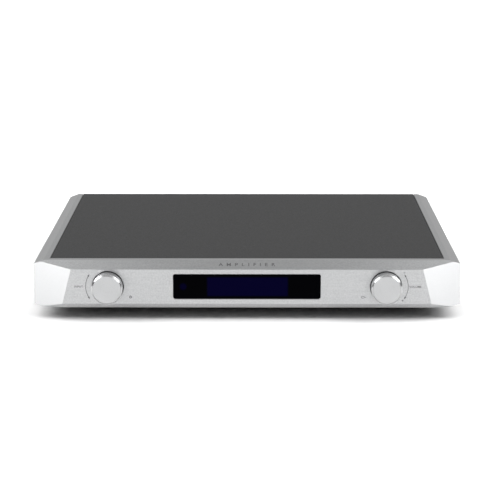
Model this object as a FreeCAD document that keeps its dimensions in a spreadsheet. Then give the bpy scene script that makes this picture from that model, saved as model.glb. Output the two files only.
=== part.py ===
"""Slim integrated amplifier, as an assembly of separate pieces.

A faceted aluminium case carries two push-and-turn controls and a wide display window in front, and a mains
inlet, a rocker switch, loudspeaker posts and signal sockets behind. A toroidal transformer, a power board,
an amplifier board and an input board stand inside.

Frame: +X to the right and +Y to the back, as seen from the front, and +Z up. The origin is on the surface
that the feet stand on, in the middle of the outer box. Lengths are in millimetres.
"""

import FreeCAD, Part
import math
import os
import Sketcher
from types import SimpleNamespace

Placement, Rotation, Vector = FreeCAD.Placement, FreeCAD.Rotation, FreeCAD.Vector

DRIVING = {
    # case
    "case_wide": 430.0,
    "case_deep": 340.0,
    "case_tall": 46.8,
    "foot_tall": 12.2,
    "side_bevel_wide": 10.2,
    "side_bevel_drop": 3.8,
    "side_low_wide": 7.6,
    "side_low_drop": 2.1,
    "rim_wide": 6.3,
    "side_rim_wide": 5.4,
    "front_bevel_deep": 12.0,
    "front_bevel_drop": 7.0,
    "low_bevel_deep": 1.6,
    "low_bevel_drop": 4.1,
    "facet_top": 38.5,
    "facet_low": 29.2,
    "facet_deep": 11.6,
    "front_wall": 10.0,
    "window_wall": 2.5,
    "web_thick": 5.0,
    "ledge_wide": 6.4,
    "plate_thick": 3.0,
    "seam_gap": 0.4,
    "back_thick": 2.5,
    "back_inset": 1.5,
    "edge_break": 0.4,
    # controls
    "knob_across": 139.7,
    "knob_drop": 24.9,
    "knob_radius": 15.5,
    "knob_break": 1.7,
    "knob_out": 13.0,
    "knob_sunk": 5.0,
    "recess_radius": 15.9,
    "recess_deep": 7.0,
    "shaft_radius": 3.0,
    "push_travel": 0.8,
    # display
    "window_wide": 148.0,
    "window_tall": 25.4,
    "window_drop": 24.8,
    "window_round": 2.0,
    "glass_gap": 0.3,
    # screws and fits
    "screw_radius": 1.5,
    "screw_gap": 0.05,
    "running_gap": 0.06,
    # back
    "connector_high": 22.8,
    "post_radius": 7.0,
    "post_flange": 2.5,
    "post_washer": 1.5,
    "post_cap": 16.5,
    "stud_radius": 3.4,
    "banana_radius": 2.05,
    "rocker_tilt": 10.0,
}
OVER = 1.0  # how far a cutting tool reaches past a surface
HEAD_RADIUS = 2.7  # of the case screws
FIT = 0.1  # clearance round a piece that stands in a hole
LOOSE = 0.2  # clearance between sheet pieces
PLANES = {"X": "YZ_Plane", "Y": "XZ_Plane", "Z": "XY_Plane"}
DIRECTIONS = {"X": Vector(1, 0, 0), "Y": Vector(0, 1, 0), "Z": Vector(0, 0, 1)}


class Size:
    """A size that knows both its number and its expression in the sheet's cells."""

    def __init__(self, number, text):
        self.number = float(number)
        self.text = text

    @staticmethod
    def of(other):
        return other if isinstance(other, Size) else Size(other, f"({float(other)!r})")

    def joined(self, sign, other):
        other = Size.of(other)
        numbers = {
            "+": lambda a, b: a + b,
            "-": lambda a, b: a - b,
            "*": lambda a, b: a * b,
            "/": lambda a, b: a / b,
        }
        return Size(numbers[sign](self.number, other.number), f"({self.text} {sign} {other.text})")

    def __add__(self, other):
        return self.joined("+", other)

    def __sub__(self, other):
        return self.joined("-", other)

    def __mul__(self, other):
        return self.joined("*", other)

    def __truediv__(self, other):
        return self.joined("/", other)

    def __radd__(self, other):
        return Size.of(other) + self

    def __rsub__(self, other):
        return Size.of(other) - self

    def __rmul__(self, other):
        return Size.of(other) * self

    def __neg__(self):
        return Size.of(0) - self


def filled_sheet():
    """The document and its sheet of driving dimensions, as Sizes by name."""
    document = FreeCAD.newDocument("integrated_amplifier")
    sheet = document.addObject("Spreadsheet::Sheet", "dims")
    sizes = {}
    for row, (alias, number) in enumerate(DRIVING.items(), 1):
        sheet.set(f"A{row}", repr(number))
        sheet.setAlias(f"A{row}", alias)
        sizes[alias] = Size(number, f"dims.{alias}")
    document.recompute()
    return document, SimpleNamespace(**sizes)


DOC, dim = filled_sheet()
PIECES = {}

# places along each axis that several pieces share
SIDE = dim.case_wide / 2
OUT_BACK = dim.post_flange + dim.post_washer + dim.post_cap + 2 * dim.screw_gap - dim.back_inset
FRONT = dim.knob_out - (dim.knob_out + dim.case_deep + OUT_BACK) / 2
REAR = FRONT + dim.case_deep
SEAM = FRONT + dim.front_bevel_deep + dim.rim_wide
FLOOR = dim.foot_tall
ROOF = FLOOR + dim.case_tall
RIM_IN = SIDE - dim.side_bevel_wide - dim.side_rim_wide
PLATE_SIDE = RIM_IN - dim.seam_gap
PLATE_FRONT = SEAM + dim.seam_gap
BACK_OUT = REAR - dim.back_inset
BACK_IN = BACK_OUT - dim.back_thick
KNOB_Z = ROOF - dim.knob_drop
WINDOW_Z = ROOF - dim.window_drop
SOCKET_Z = FLOOR + dim.connector_high
POSTS_X = (72.0, 50.0, 22.0, 0.0)
INLET_X = -158.0
SWITCH_X = -118.0
ROWS_Y = (SEAM + 40, (SEAM + REAR) / 2, REAR - 40)


# ---------------------------------------------------------------- helpers


def bind(thing, name, size):
    thing.setExpression(name, Size.of(size).text)


def put(thing, x, y, z):
    for axis, size in zip("xyz", (x, y, z)):
        bind(thing, f"Placement.Base.{axis}", size)
    return thing


def keep(label, thing):
    """Names a finished piece."""
    thing.Label = label
    PIECES[label] = thing
    return thing


def block(x, y, z, wide, deep, tall):
    """A box from its lowest corner."""
    thing = DOC.addObject("Part::Box", "Box")
    bind(thing, "Length", wide)
    bind(thing, "Width", deep)
    bind(thing, "Height", tall)
    return put(thing, x, y, z)


def middle_block(x, y, z, wide, deep, tall):
    """A box about a line along Y, starting at a place on it."""
    return block(x - Size.of(wide) / 2, y, z - Size.of(tall) / 2, wide, deep, tall)


def rod(axis, x, y, z, radius, length):
    thing = DOC.addObject("Part::Cylinder", "Cylinder")
    thing.Placement = Placement(Vector(), Rotation(DIRECTIONS["Z"], DIRECTIONS[axis]))
    bind(thing, "Radius", radius)
    bind(thing, "Height", length)
    return put(thing, x, y, z)


def fuse(*things):
    if len(things) == 1:
        return things[0]
    thing = DOC.addObject("Part::MultiFuse", "Fusion")
    thing.Shapes = list(things)
    return thing


def cut(base, *tools):
    thing = DOC.addObject("Part::Cut", "Cut")
    thing.Base = base
    thing.Tool = fuse(*tools)
    return thing


def group(*things):
    thing = DOC.addObject("Part::Compound", "Group")
    thing.Links = list(things)
    return thing


def copies(master, places):
    """Copies of one piece at several places, as a group."""
    links = []
    for place in places:
        link = DOC.addObject("App::Link", "Copy")
        link.LinkedObject = master
        link.LinkTransform = False
        links.append(put(link, *place))
    return group(*links)


def new_body():
    return DOC.addObject("PartDesign::Body", "Body")


def flat_sketch(body, axis, place, *outlines):
    """A sketch square to an axis, at a place along it, with its outlines."""
    sketch = body.newObject("Sketcher::SketchObject", "Sketch")
    plane = next(feature for feature in body.Origin.OriginFeatures if feature.Role == PLANES[axis])
    sketch.AttachmentSupport = [(plane, "")]
    sketch.MapMode = "FlatFace"
    place = Size.of(place)
    bind(sketch, "AttachmentOffset.Base.z", -place if axis == "Y" else place)
    for outline in outlines:
        outline(sketch)
    return sketch


def pin_point(sketch, curve, end, x, y):
    """Ties a point of a curve to its place from the sketch's origin."""
    for kind, size in (("DistanceX", x), ("DistanceY", y)):
        size = Size.of(size)
        row = sketch.addConstraint(Sketcher.Constraint(kind, -1, 1, curve, end, size.number))
        bind(sketch, f"Constraints[{row}]", size)


def tie_radius(sketch, curve, radius):
    radius = Size.of(radius)
    row = sketch.addConstraint(Sketcher.Constraint("Radius", curve, radius.number))
    bind(sketch, f"Constraints[{row}]", radius)


def spot(x, y):
    return Vector(Size.of(x).number, Size.of(y).number, 0)


def polygon(points):
    def draw(sketch):
        first = sketch.GeometryCount
        count = len(points)
        for index in range(count):
            ends = spot(*points[index]), spot(*points[(index + 1) % count])
            sketch.addGeometry(Part.LineSegment(*ends))
        for index in range(count):
            following = first + (index + 1) % count
            sketch.addConstraint(Sketcher.Constraint("Coincident", first + index, 2, following, 1))
            pin_point(sketch, first + index, 1, *points[index])

    return draw


def rectangle(x, y, wide, tall):
    """A rectangle about its middle."""
    half_wide, half_tall = Size.of(wide) / 2, Size.of(tall) / 2
    low_x, high_x, low_y, high_y = x - half_wide, x + half_wide, y - half_tall, y + half_tall
    return polygon([(low_x, low_y), (high_x, low_y), (high_x, high_y), (low_x, high_y)])


def circle(x, y, radius):
    def draw(sketch):
        curve = sketch.GeometryCount
        sketch.addGeometry(Part.Circle(spot(x, y), Vector(0, 0, 1), Size.of(radius).number))
        pin_point(sketch, curve, 3, x, y)
        tie_radius(sketch, curve, radius)

    return draw


def rounded(x, y, wide, tall, radius):
    """A rectangle with round corners, about its middle."""
    over, up, radius = Size.of(wide) / 2 - radius, Size.of(tall) / 2 - radius, Size.of(radius)
    centres = [(x + over, y - up), (x + over, y + up), (x - over, y + up), (x - over, y - up)]

    def draw(sketch):
        first = sketch.GeometryCount
        for corner, (at_x, at_y) in enumerate(centres):
            turn_from = math.radians(90 * (corner - 1))
            round_edge = Part.Circle(spot(at_x, at_y), Vector(0, 0, 1), radius.number)
            sketch.addGeometry(Part.ArcOfCircle(round_edge, turn_from, turn_from + math.pi / 2))
            leave = turn_from + math.pi / 2
            next_x, next_y = centres[(corner + 1) % 4]
            step = Vector(math.cos(leave), math.sin(leave), 0) * radius.number
            sketch.addGeometry(Part.LineSegment(spot(at_x, at_y) + step, spot(next_x, next_y) + step))
        for corner in range(4):
            arc, line, next_arc = first + 2 * corner, first + 2 * corner + 1, first + (2 * corner + 2) % 8
            sketch.addConstraint(Sketcher.Constraint("Tangent", arc, 2, line, 1))
            sketch.addConstraint(Sketcher.Constraint("Tangent", line, 2, next_arc, 1))
            pin_point(sketch, arc, 3, *centres[corner])
        tie_radius(sketch, first, radius)

    return draw


def grow(body, axis, low, high, *outlines):
    """Adds a prism between two places along an axis."""
    pad = body.newObject("PartDesign::Pad", "Pad")
    pad.Profile = flat_sketch(body, axis, high if axis == "Y" else low, *outlines)
    bind(pad, "Length", high - low)
    return pad


def carve(body, axis, low, high, *outlines):
    """Takes away a prism between two places along an axis."""
    sketch = flat_sketch(body, axis, low if axis == "Y" else high, *outlines)
    pocket = body.newObject("PartDesign::Pocket", "Pocket")
    pocket.Profile = sketch
    bind(pocket, "Length", high - low)
    return pocket


def turned(axis, points):
    """A body of revolution about X, Y or Z, from (place along the axis, radius) points."""
    body = new_body()
    if axis == "Z":
        sketch = flat_sketch(body, "Y", 0, polygon([(radius, place) for place, radius in points]))
    else:
        sketch = flat_sketch(body, {"X": "Z", "Y": "X"}[axis], 0, polygon(points))
    revolution = body.newObject("PartDesign::Revolution", "Revolution")
    revolution.Profile = sketch
    revolution.ReferenceAxis = (sketch, ["V_Axis" if axis == "Z" else "H_Axis"])
    revolution.Angle = 360
    return body


def bored(body, x, z, points):
    """Takes a round hole along Y out of a body, from (place along Y, radius) points."""
    outline = polygon([(place, z + radius) for place, radius in points])
    sketch = flat_sketch(body, "X", x, outline)
    axis_line = sketch.addGeometry(Part.LineSegment(spot(0, z), spot(OVER, z)), True)
    pin_point(sketch, axis_line, 1, 0, z)
    pin_point(sketch, axis_line, 2, OVER, z)
    groove = body.newObject("PartDesign::Groove", "Groove")
    groove.Profile = sketch
    groove.ReferenceAxis = (sketch, ["Axis0"])
    groove.Angle = 360
    return groove


def screw(axis, under_head, length, towards, head=HEAD_RADIUS, head_tall=2.0, radius=None):
    """A cap screw about an axis through the origin: its shank runs from under_head in direction towards."""
    radius = radius or dim.screw_radius
    tip = under_head + towards * Size.of(length)
    top = under_head - towards * Size.of(head_tall)
    socket_deep, socket_share = 1.2, 0.45
    socket = top + towards * socket_deep
    socket_radius = Size.of(head) * socket_share
    outline = [
        (tip, 0),
        (tip, radius),
        (under_head, radius),
        (under_head, head),
        (top, head),
        (top, socket_radius),
        (socket, socket_radius),
        (socket, 0),
    ]
    return turned(axis, outline)


def screw_holes(axis, places, start, length, radius=None):
    """Clearance holes for screws along an axis, one at each place on the other two axes."""
    radius = radius or dim.screw_radius + dim.screw_gap
    starts = {
        "X": lambda a, b: (start, a, b),
        "Y": lambda a, b: (a, start, b),
        "Z": lambda a, b: (a, b, start),
    }
    return [rod(axis, *starts[axis](*place), radius, length) for place in places]


# ---------------------------------------------------------------- case


def ledge_middle(side):
    return side * (RIM_IN - dim.ledge_wide / 2)


PLATE_SCREWS = [(ledge_middle(side), y) for side in (-1, 1) for y in ROWS_Y]
BLOCK_WIDE, BLOCK_DEEP, BLOCK_TALL = 12.0, 14.0, 32.0
PANEL_THREAD, RAIL_THREAD = 5.0, 3.0  # how deep the corner screws go into the front panel and the rails
BLOCK_X = SIDE - dim.web_thick - BLOCK_WIDE / 2
BLOCK_Z = (FLOOR + ROOF) / 2
BLOCK_YS = (SEAM, BACK_IN - BLOCK_DEEP)
CORNER_SCREWS = [(side * BLOCK_X, BLOCK_Z + up) for side in (-1, 1) for up in (-10.0, 10.0)]
STANDOFF_TALL = 8.0
BOARD_THICK = 1.6
BOARD_LOW = FLOOR + dim.plate_thick + STANDOFF_TALL
BOARD_TOP = BOARD_LOW + BOARD_THICK
BOARDS = {
    "power_board": (-47.0, 25.0, 50.0, 120.0),
    "amplifier_board": (38.0, 60.0, 110.0, 130.0),
    "input_board": (142.0, 95.0, 90.0, 70.0),
}
TRANSFORMER = (-134.0, 30.0)
FOOT_SCREW_RADIUS = 2.0
BOLT_RADIUS = 3.0
HEAD_SEAT = 2.0  # how deep the bottom plate's screw heads are sunk
WINDOW_FLANGE = 3.0  # how far the window's flange reaches past its opening
FEET = [(side * 165.0, y) for side in (-1, 1) for y in (FRONT + 70, REAR - 50)]


def board_corners(name):
    x, y, wide, deep = BOARDS[name]
    inset = 4.0
    return [
        (x + over * (wide / 2 - inset), y + back * (deep / 2 - inset))
        for over in (-1, 1)
        for back in (-1, 1)
    ]


def front_panel():
    """The milled front block: bevels, corner facets, two control recesses and the window opening."""
    body = new_body()
    side_view = [
        (FRONT, FLOOR + dim.low_bevel_drop),
        (FRONT, ROOF - dim.front_bevel_drop),
        (FRONT + dim.front_bevel_deep, ROOF),
        (SEAM, ROOF),
        (SEAM, FLOOR),
        (FRONT + dim.low_bevel_deep, FLOOR),
    ]
    grow(body, "X", -SIDE, SIDE, polygon(side_view))
    bevel_side(body)
    for side in (-1, 1):
        corner_facet(body, side)
        low_corner(body, side)
    hollow_back(body)
    window_opening(body)
    for side in (-1, 1):
        control_recess(body, side * dim.knob_across)
    holes = screw_holes("Y", CORNER_SCREWS, SEAM - PANEL_THREAD - OVER, PANEL_THREAD + 2 * OVER)
    keep("front_panel", cut(body, *holes))


def hollow_back(body):
    """Clears the room behind the front wall for the display's board and the encoders."""
    low, high, inset = FLOOR + 4, ROOF - 8, 65.0
    room = rectangle(0, (low + high) / 2, dim.case_wide - 2 * inset, high - low)
    carve(body, "Y", FRONT + dim.front_wall, SEAM, room)


def window_opening(body):
    """Cuts the window's opening with a broken front edge, and the room behind it for the flange."""
    room = 2 * (WINDOW_FLANGE + OVER)
    flange_room = rectangle(0, WINDOW_Z, dim.window_wide + room, dim.window_tall + room)
    carve(body, "Y", FRONT + dim.window_wall, FRONT + dim.front_wall, flange_room)
    opening = rounded(0, WINDOW_Z, dim.window_wide, dim.window_tall, dim.window_round)
    carve(body, "Y", FRONT, FRONT + dim.window_wall, opening)
    rim = rounded(
        0,
        WINDOW_Z,
        dim.window_wide + 2 * dim.edge_break,
        dim.window_tall + 2 * dim.edge_break,
        dim.window_round + dim.edge_break,
    )
    broken_edge = carve(body, "Y", FRONT, FRONT + dim.edge_break, rim)
    broken_edge.TaperAngle = -45


def control_recess(body, x):
    """Cuts the round recess of one control, with a broken edge, and its encoder's hole."""
    mouth = dim.recess_radius + dim.edge_break
    hole_end = FRONT + dim.front_wall + OVER
    outline = [
        (FRONT - OVER, 0),
        (FRONT - OVER, mouth),
        (FRONT, mouth),
        (FRONT + dim.edge_break, dim.recess_radius),
        (FRONT + dim.recess_deep, dim.recess_radius),
        (FRONT + dim.recess_deep, BUSH_RADIUS + FIT),
        (hole_end, BUSH_RADIUS + FIT),
        (hole_end, 0),
    ]
    bored(body, x, KNOB_Z, outline)


def bevel_side(body):
    """Cuts the four long side bevels off a block as wide and tall as the case."""
    wedges = []
    upper = ROOF, -1, dim.side_bevel_wide, dim.side_bevel_drop
    lower = FLOOR, 1, dim.side_low_wide, dim.side_low_drop
    for side in (-1, 1):
        for edge, inward, wide, drop in (upper, lower):
            wedges.append(
                polygon(
                    [
                        (side * SIDE, edge + inward * drop),
                        (side * (SIDE - wide), edge),
                        (side * (SIDE - wide), edge - inward * OVER),
                        (side * (SIDE + OVER), edge - inward * OVER),
                        (side * (SIDE + OVER), edge + inward * drop),
                    ]
                )
            )
    carve(body, "Y", FRONT - OVER, SEAM + OVER, *wedges)


def cut_between(body, outlines):
    """Cuts away the block between two outlines, each with its own height."""
    sections = [flat_sketch(body, "Z", level, polygon(points)) for level, points in outlines]
    loft = body.newObject("PartDesign::SubtractiveLoft", "SlopingCut")
    loft.Profile = sections[0]
    loft.Sections = sections[1:]
    loft.Ruled = True


def facet_inward(level):
    """How far in from the side the corner facet meets the front face, at a height."""
    face_tall = dim.case_tall - dim.front_bevel_drop - dim.low_bevel_drop
    lean = (dim.facet_top - dim.facet_low) / face_tall
    return dim.facet_top + lean * (level - (ROOF - dim.front_bevel_drop))


def corner_facet(body, side):
    """Cuts the slanting facet off one front corner."""
    past = 0.1  # part of the facet's width by which the tool reaches past both its edges
    outlines = []
    for level in (FLOOR - OVER, ROOF + OVER):
        inward = facet_inward(level)
        back = inward * dim.facet_deep / dim.facet_top
        points = [
            (side * (SIDE - (1 + past) * inward), FRONT - past * back),
            (side * (SIDE + past * inward), FRONT + (1 + past) * back),
            (side * (SIDE + past * inward), FRONT - past * back),
        ]
        outlines.append((level, points))
    cut_between(body, outlines)


def low_corner(body, side):
    """Cuts the low bevel's end, which tapers to nothing under the corner facet."""
    tip_deep = (facet_inward(FLOOR) - dim.side_low_wide) * dim.facet_deep / dim.facet_top
    slope = (tip_deep - dim.low_bevel_deep) / (dim.facet_low - dim.side_low_wide)
    outlines = []
    for level in (FLOOR - OVER, FLOOR + dim.low_bevel_drop + OVER):
        start = dim.low_bevel_deep * (FLOOR + dim.low_bevel_drop - level) / dim.low_bevel_drop
        clear = FRONT - 2 * OVER
        points = [
            (side * (SIDE - dim.facet_low - OVER), FRONT + start - slope * OVER),
            (side * (SIDE + OVER), FRONT + start + slope * (dim.facet_low + OVER)),
            (side * (SIDE + OVER), clear),
            (side * (SIDE - dim.facet_low - OVER), clear),
        ]
        outlines.append((level, points))
    cut_between(body, outlines)


def side_rail(name, side):
    """One extruded side rail, with a ledge for each plate."""
    rim = dim.side_bevel_wide + dim.side_rim_wide
    ledge_in = rim + dim.ledge_wide
    half = [
        (rim, 0),
        (rim, dim.plate_thick),
        (ledge_in, dim.plate_thick),
        (ledge_in, 2 * dim.plate_thick),
        (dim.web_thick, 2 * dim.plate_thick),
    ]
    low_half = [(dim.side_low_wide, 0), *half]
    top_half = [(dim.side_bevel_wide, 0), *half]
    lower = [(side * (SIDE - inward), FLOOR + up) for inward, up in low_half]
    upper = [(side * (SIDE - inward), ROOF - up) for inward, up in reversed(top_half)]
    outer = [(side * SIDE, ROOF - dim.side_bevel_drop), (side * SIDE, FLOOR + dim.side_low_drop)]
    body = new_body()
    grow(body, "Y", SEAM, REAR, polygon(lower + upper + outer))
    plate_places = [place for place in PLATE_SCREWS if Size.of(place[0]).number * side > 0]
    low_holes = screw_holes("Z", plate_places, FLOOR + dim.plate_thick - OVER, dim.plate_thick + 2 * OVER)
    top_holes = screw_holes("Z", plate_places, ROOF - 2 * dim.plate_thick - OVER, dim.plate_thick + 2 * OVER)
    block_places = [(y + BLOCK_DEEP / 2, BLOCK_Z) for y in BLOCK_YS]
    inner_face = side * (SIDE - dim.web_thick)
    deep = RAIL_THREAD + 0.5
    start = inner_face - OVER if side > 0 else inner_face - deep
    block_holes = screw_holes("X", block_places, start, deep + OVER)
    keep(name, cut(body, *low_holes, *top_holes, *block_holes))


def plate_outline(low, high, break_low, break_high):
    """A plate's section along Y, with its outer long edges broken."""
    size = dim.edge_break
    low_in, high_in = (size if broken else 0 for broken in (break_low, break_high))
    points = [(-PLATE_SIDE + low_in, low), (PLATE_SIDE - low_in, low)]
    if break_low:
        points.append((PLATE_SIDE, low + size))
    if break_high:
        points.append((PLATE_SIDE, high - size))
    points += [(PLATE_SIDE - high_in, high), (-PLATE_SIDE + high_in, high)]
    if break_high:
        points.append((-PLATE_SIDE, high - size))
    if break_low:
        points.append((-PLATE_SIDE, low + size))
    return polygon(points)


def top_cover():
    body = new_body()
    low = ROOF - dim.plate_thick
    hole_deep = 2.2
    grow(body, "Y", PLATE_FRONT, REAR, plate_outline(low, ROOF, False, True))
    keep("top_cover", cut(body, *screw_holes("Z", PLATE_SCREWS, low - OVER, hole_deep + OVER)))


def bottom_plate():
    """The bottom plate, with cooling slots and the holes for what it carries."""
    body = new_body()
    high = FLOOR + dim.plate_thick
    grow(body, "Y", PLATE_FRONT, REAR, plate_outline(FLOOR, high, True, False))
    through = FLOOR - OVER, dim.plate_thick + 2 * OVER
    slot_wide, slot_long, slot_pitch, slot_count = 3.2, 30.0, 12.0, 13
    first_slot, slot_rows = -56.0, (-110.0, -70.0)
    slots = [
        block(first_slot + slot_pitch * column, row, through[0], slot_wide, slot_long, through[1])
        for column in range(slot_count)
        for row in slot_rows
    ]
    foot_holes = screw_holes("Z", FEET, *through, FOOT_SCREW_RADIUS + dim.screw_gap)
    bolt_hole = screw_holes("Z", [TRANSFORMER], *through, BOLT_RADIUS + dim.screw_gap)
    seats = [rod("Z", *place, through[0], HEAD_RADIUS + FIT, HEAD_SEAT + OVER) for place in PLATE_SCREWS]
    holes = screw_holes("Z", PLATE_SCREWS, *through)
    keep("bottom_plate", cut(body, *slots, *foot_holes, *bolt_hole, *seats, *holes))


def rear_panel():
    """The rear panel, which reaches over the rails' ledges in between, with every socket's hole."""
    low, high = FLOOR + dim.plate_thick + LOOSE, ROOF - dim.plate_thick - LOOSE
    shelf_low, shelf_high = low + dim.plate_thick, high - dim.plate_thick
    ledge = RIM_IN - dim.ledge_wide - LOOSE
    wide = SIDE - dim.web_thick - LOOSE
    half = [
        (ledge, low),
        (ledge, shelf_low),
        (wide, shelf_low),
        (wide, shelf_high),
        (ledge, shelf_high),
        (ledge, high),
    ]
    outline = half + [(-x, z) for x, z in reversed(half)]
    holes = [circle(*place, SOCKET_HOLE) for place in RCA_PLACES]
    holes += [circle(x, SOCKET_Z, BASE_RADIUS + FIT) for x in POSTS_X]
    holes += [circle(*place, dim.screw_radius + dim.screw_gap) for place in CORNER_SCREWS]
    holes.append(circle(*TRIGGER_PLACE, TRIGGER_RADIUS + FIT))
    holes.append(rectangle(USB_X, SOCKET_Z, USB_WIDE + LOOSE, USB_TALL + LOOSE))
    holes.append(rectangle(INLET_X, SOCKET_Z, INLET_WIDE + LOOSE, INLET_TALL + LOOSE))
    holes.append(rectangle(SWITCH_X, SOCKET_Z, SWITCH_WIDE + LOOSE, SWITCH_TALL + LOOSE))
    body = new_body()
    grow(body, "Y", BACK_IN, BACK_OUT, polygon(outline), *holes)
    keep("rear_panel", body)


def corner_blocks():
    """Blocks inside the four corners, which tie the rails to the front and rear panels."""
    blocks = []
    for y in BLOCK_YS:
        for side in (-1, 1):
            low_x = side * BLOCK_X - BLOCK_WIDE / 2
            whole = block(low_x, y, BLOCK_Z - BLOCK_TALL / 2, BLOCK_WIDE, BLOCK_DEEP, BLOCK_TALL)
            places = [place for place in CORNER_SCREWS if Size.of(place[0]).number * side > 0]
            along = screw_holes("Y", places, y - OVER, BLOCK_DEEP + 2 * OVER)
            across = screw_holes("X", [(y + BLOCK_DEEP / 2, BLOCK_Z)], low_x - OVER, BLOCK_WIDE + 2 * OVER)
            blocks.append(cut(whole, *along, *across))
    keep("corner_blocks", group(*blocks))


def case_screws():
    """The screws that hold the case together, one group for each joint."""
    rear_thread, cover_thread, low_head = 10.0, 2.0, 1.7
    front = screw("Y", BLOCK_YS[0] + BLOCK_DEEP, BLOCK_DEEP + PANEL_THREAD, -1)
    keep("front_panel_screws", copies(front, [(x, 0, z) for x, z in CORNER_SCREWS]))
    rear = screw("Y", BACK_OUT, dim.back_thick + rear_thread, -1)
    keep("rear_panel_screws", copies(rear, [(x, 0, z) for x, z in CORNER_SCREWS]))
    top = screw("Z", ROOF - 2 * dim.plate_thick, dim.plate_thick + cover_thread, 1)
    keep("top_cover_screws", copies(top, [(x, y, 0) for x, y in PLATE_SCREWS]))
    bottom = screw("Z", FLOOR + HEAD_SEAT, 2 * dim.plate_thick - HEAD_SEAT, 1, head_tall=low_head)
    keep("bottom_plate_screws", copies(bottom, [(x, y, 0) for x, y in PLATE_SCREWS]))
    singles = []
    for y in BLOCK_YS:
        for side in (-1, 1):
            head_at = side * (SIDE - dim.web_thick - BLOCK_WIDE)
            single = screw("X", head_at, BLOCK_WIDE + RAIL_THREAD, side)
            singles.append(put(single, 0, y + BLOCK_DEEP / 2, BLOCK_Z))
    keep("block_screws", group(*singles))


def feet():
    """Four turned feet, each with a rubber pad below and a screw up into the bottom plate."""
    pad_seat, head_seat, rim, slope = 2.5, 6.0, 1.5, 1.0
    pad_radius, foot_radius = 16.0, 20.0
    head_radius, head_tall, pad_round = 4.2, 2.6, 0.8
    bore, head_bore = FOOT_SCREW_RADIUS + FIT, head_radius + 4 * FIT
    foot = turned(
        "Z",
        [
            (head_seat, bore),
            (head_seat, head_bore),
            (pad_seat, head_bore),
            (pad_seat, pad_radius + FIT),
            (rim, pad_radius + FIT),
            (rim, foot_radius - 2.5 * slope),
            (rim + slope, foot_radius - 1.5 * slope),
            (FLOOR - pad_round, foot_radius),
            (FLOOR, foot_radius - pad_round),
            (FLOOR, bore),
        ],
    )
    places = [(x, y, 0) for x, y in FEET]
    keep("feet", copies(foot, places))
    pad_outline = [
        (0, 0),
        (0, pad_radius - pad_round),
        (pad_round, pad_radius),
        (pad_seat, pad_radius),
        (pad_seat, 0),
    ]
    keep("foot_pads", copies(turned("Z", pad_outline), places))
    length = FLOOR + dim.plate_thick - head_seat + 1
    foot_screw = screw("Z", Size.of(head_seat), length, 1, head_radius, head_tall, FOOT_SCREW_RADIUS)
    keep("foot_screws", copies(foot_screw, places))


# ---------------------------------------------------------------- front controls and display

BUSH_RADIUS = 3.5
NUT_TALL = 2.0
NUT_CORNER = 5.8  # from the nut's axis to its corners
ENCODER_WIDE, ENCODER_DEEP = 13.0, 7.0
KNOB_WEB = 5.0  # metal left in front of the knob's bore
SHAFT_END = FRONT + dim.front_wall + 2
PLUNGER_LONG = 1.5


def knob_body():
    """A solid knob with a broken front edge, hollow behind over its nut, bored for its shaft."""
    face = FRONT - dim.knob_out
    back = FRONT + dim.knob_sunk
    nut_room, nut_room_radius = back - 3, 7.0
    bore = dim.shaft_radius + 0.02
    return turned(
        "Y",
        [
            (face, 0),
            (face, dim.knob_radius - dim.knob_break),
            (face + dim.knob_break, dim.knob_radius),
            (back - dim.edge_break, dim.knob_radius),
            (back, dim.knob_radius - dim.edge_break),
            (back, nut_room_radius),
            (nut_room, nut_room_radius),
            (nut_room, bore),
            (face + KNOB_WEB, bore),
            (face + KNOB_WEB, 0),
        ],
    )


def control(name, side):
    """One push-and-turn control: its knob, shaft, plunger and encoder."""
    x = side * dim.knob_across
    keep(f"{name}_knob", put(knob_body(), x, 0, KNOB_Z))
    shaft_start = FRONT - dim.knob_out + KNOB_WEB
    shaft = rod("Y", x, shaft_start, KNOB_Z, dim.shaft_radius, SHAFT_END - shaft_start)
    keep(f"{name}_shaft", shaft)
    plunger = rod("Y", x, SHAFT_END + dim.screw_gap, KNOB_Z, dim.shaft_radius, PLUNGER_LONG)
    keep(f"{name}_plunger", plunger)
    wall_back = FRONT + dim.front_wall
    bush_start = FRONT + dim.recess_deep - NUT_TALL - 0.4
    case = middle_block(x, wall_back, KNOB_Z, ENCODER_WIDE, ENCODER_DEEP, ENCODER_WIDE)
    bush = rod("Y", x, bush_start, KNOB_Z, BUSH_RADIUS, wall_back - bush_start + OVER)
    room = SHAFT_END + PLUNGER_LONG + dim.push_travel + 0.3 - bush_start
    bore = rod("Y", x, bush_start - OVER, KNOB_Z, dim.shaft_radius + dim.running_gap, room + OVER)
    keep(f"{name}_encoder", cut(fuse(case, bush), bore))


def encoder_nuts():
    nuts = []
    for side in (-1, 1):
        prism = DOC.addObject("Part::Prism", "Nut")
        prism.Polygon = 6
        prism.Placement = Placement(Vector(), Rotation(DIRECTIONS["Z"], DIRECTIONS["Y"]))
        bind(prism, "Circumradius", NUT_CORNER)
        bind(prism, "Height", NUT_TALL)
        start = FRONT + dim.recess_deep - NUT_TALL
        put(prism, side * dim.knob_across, start, KNOB_Z)
        bore = BUSH_RADIUS + dim.screw_gap
        hole = rod("Y", side * dim.knob_across, start - OVER, KNOB_Z, bore, NUT_TALL + 2 * OVER)
        nuts.append(cut(prism, hole))
    keep("encoder_nuts", group(*nuts))


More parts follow.
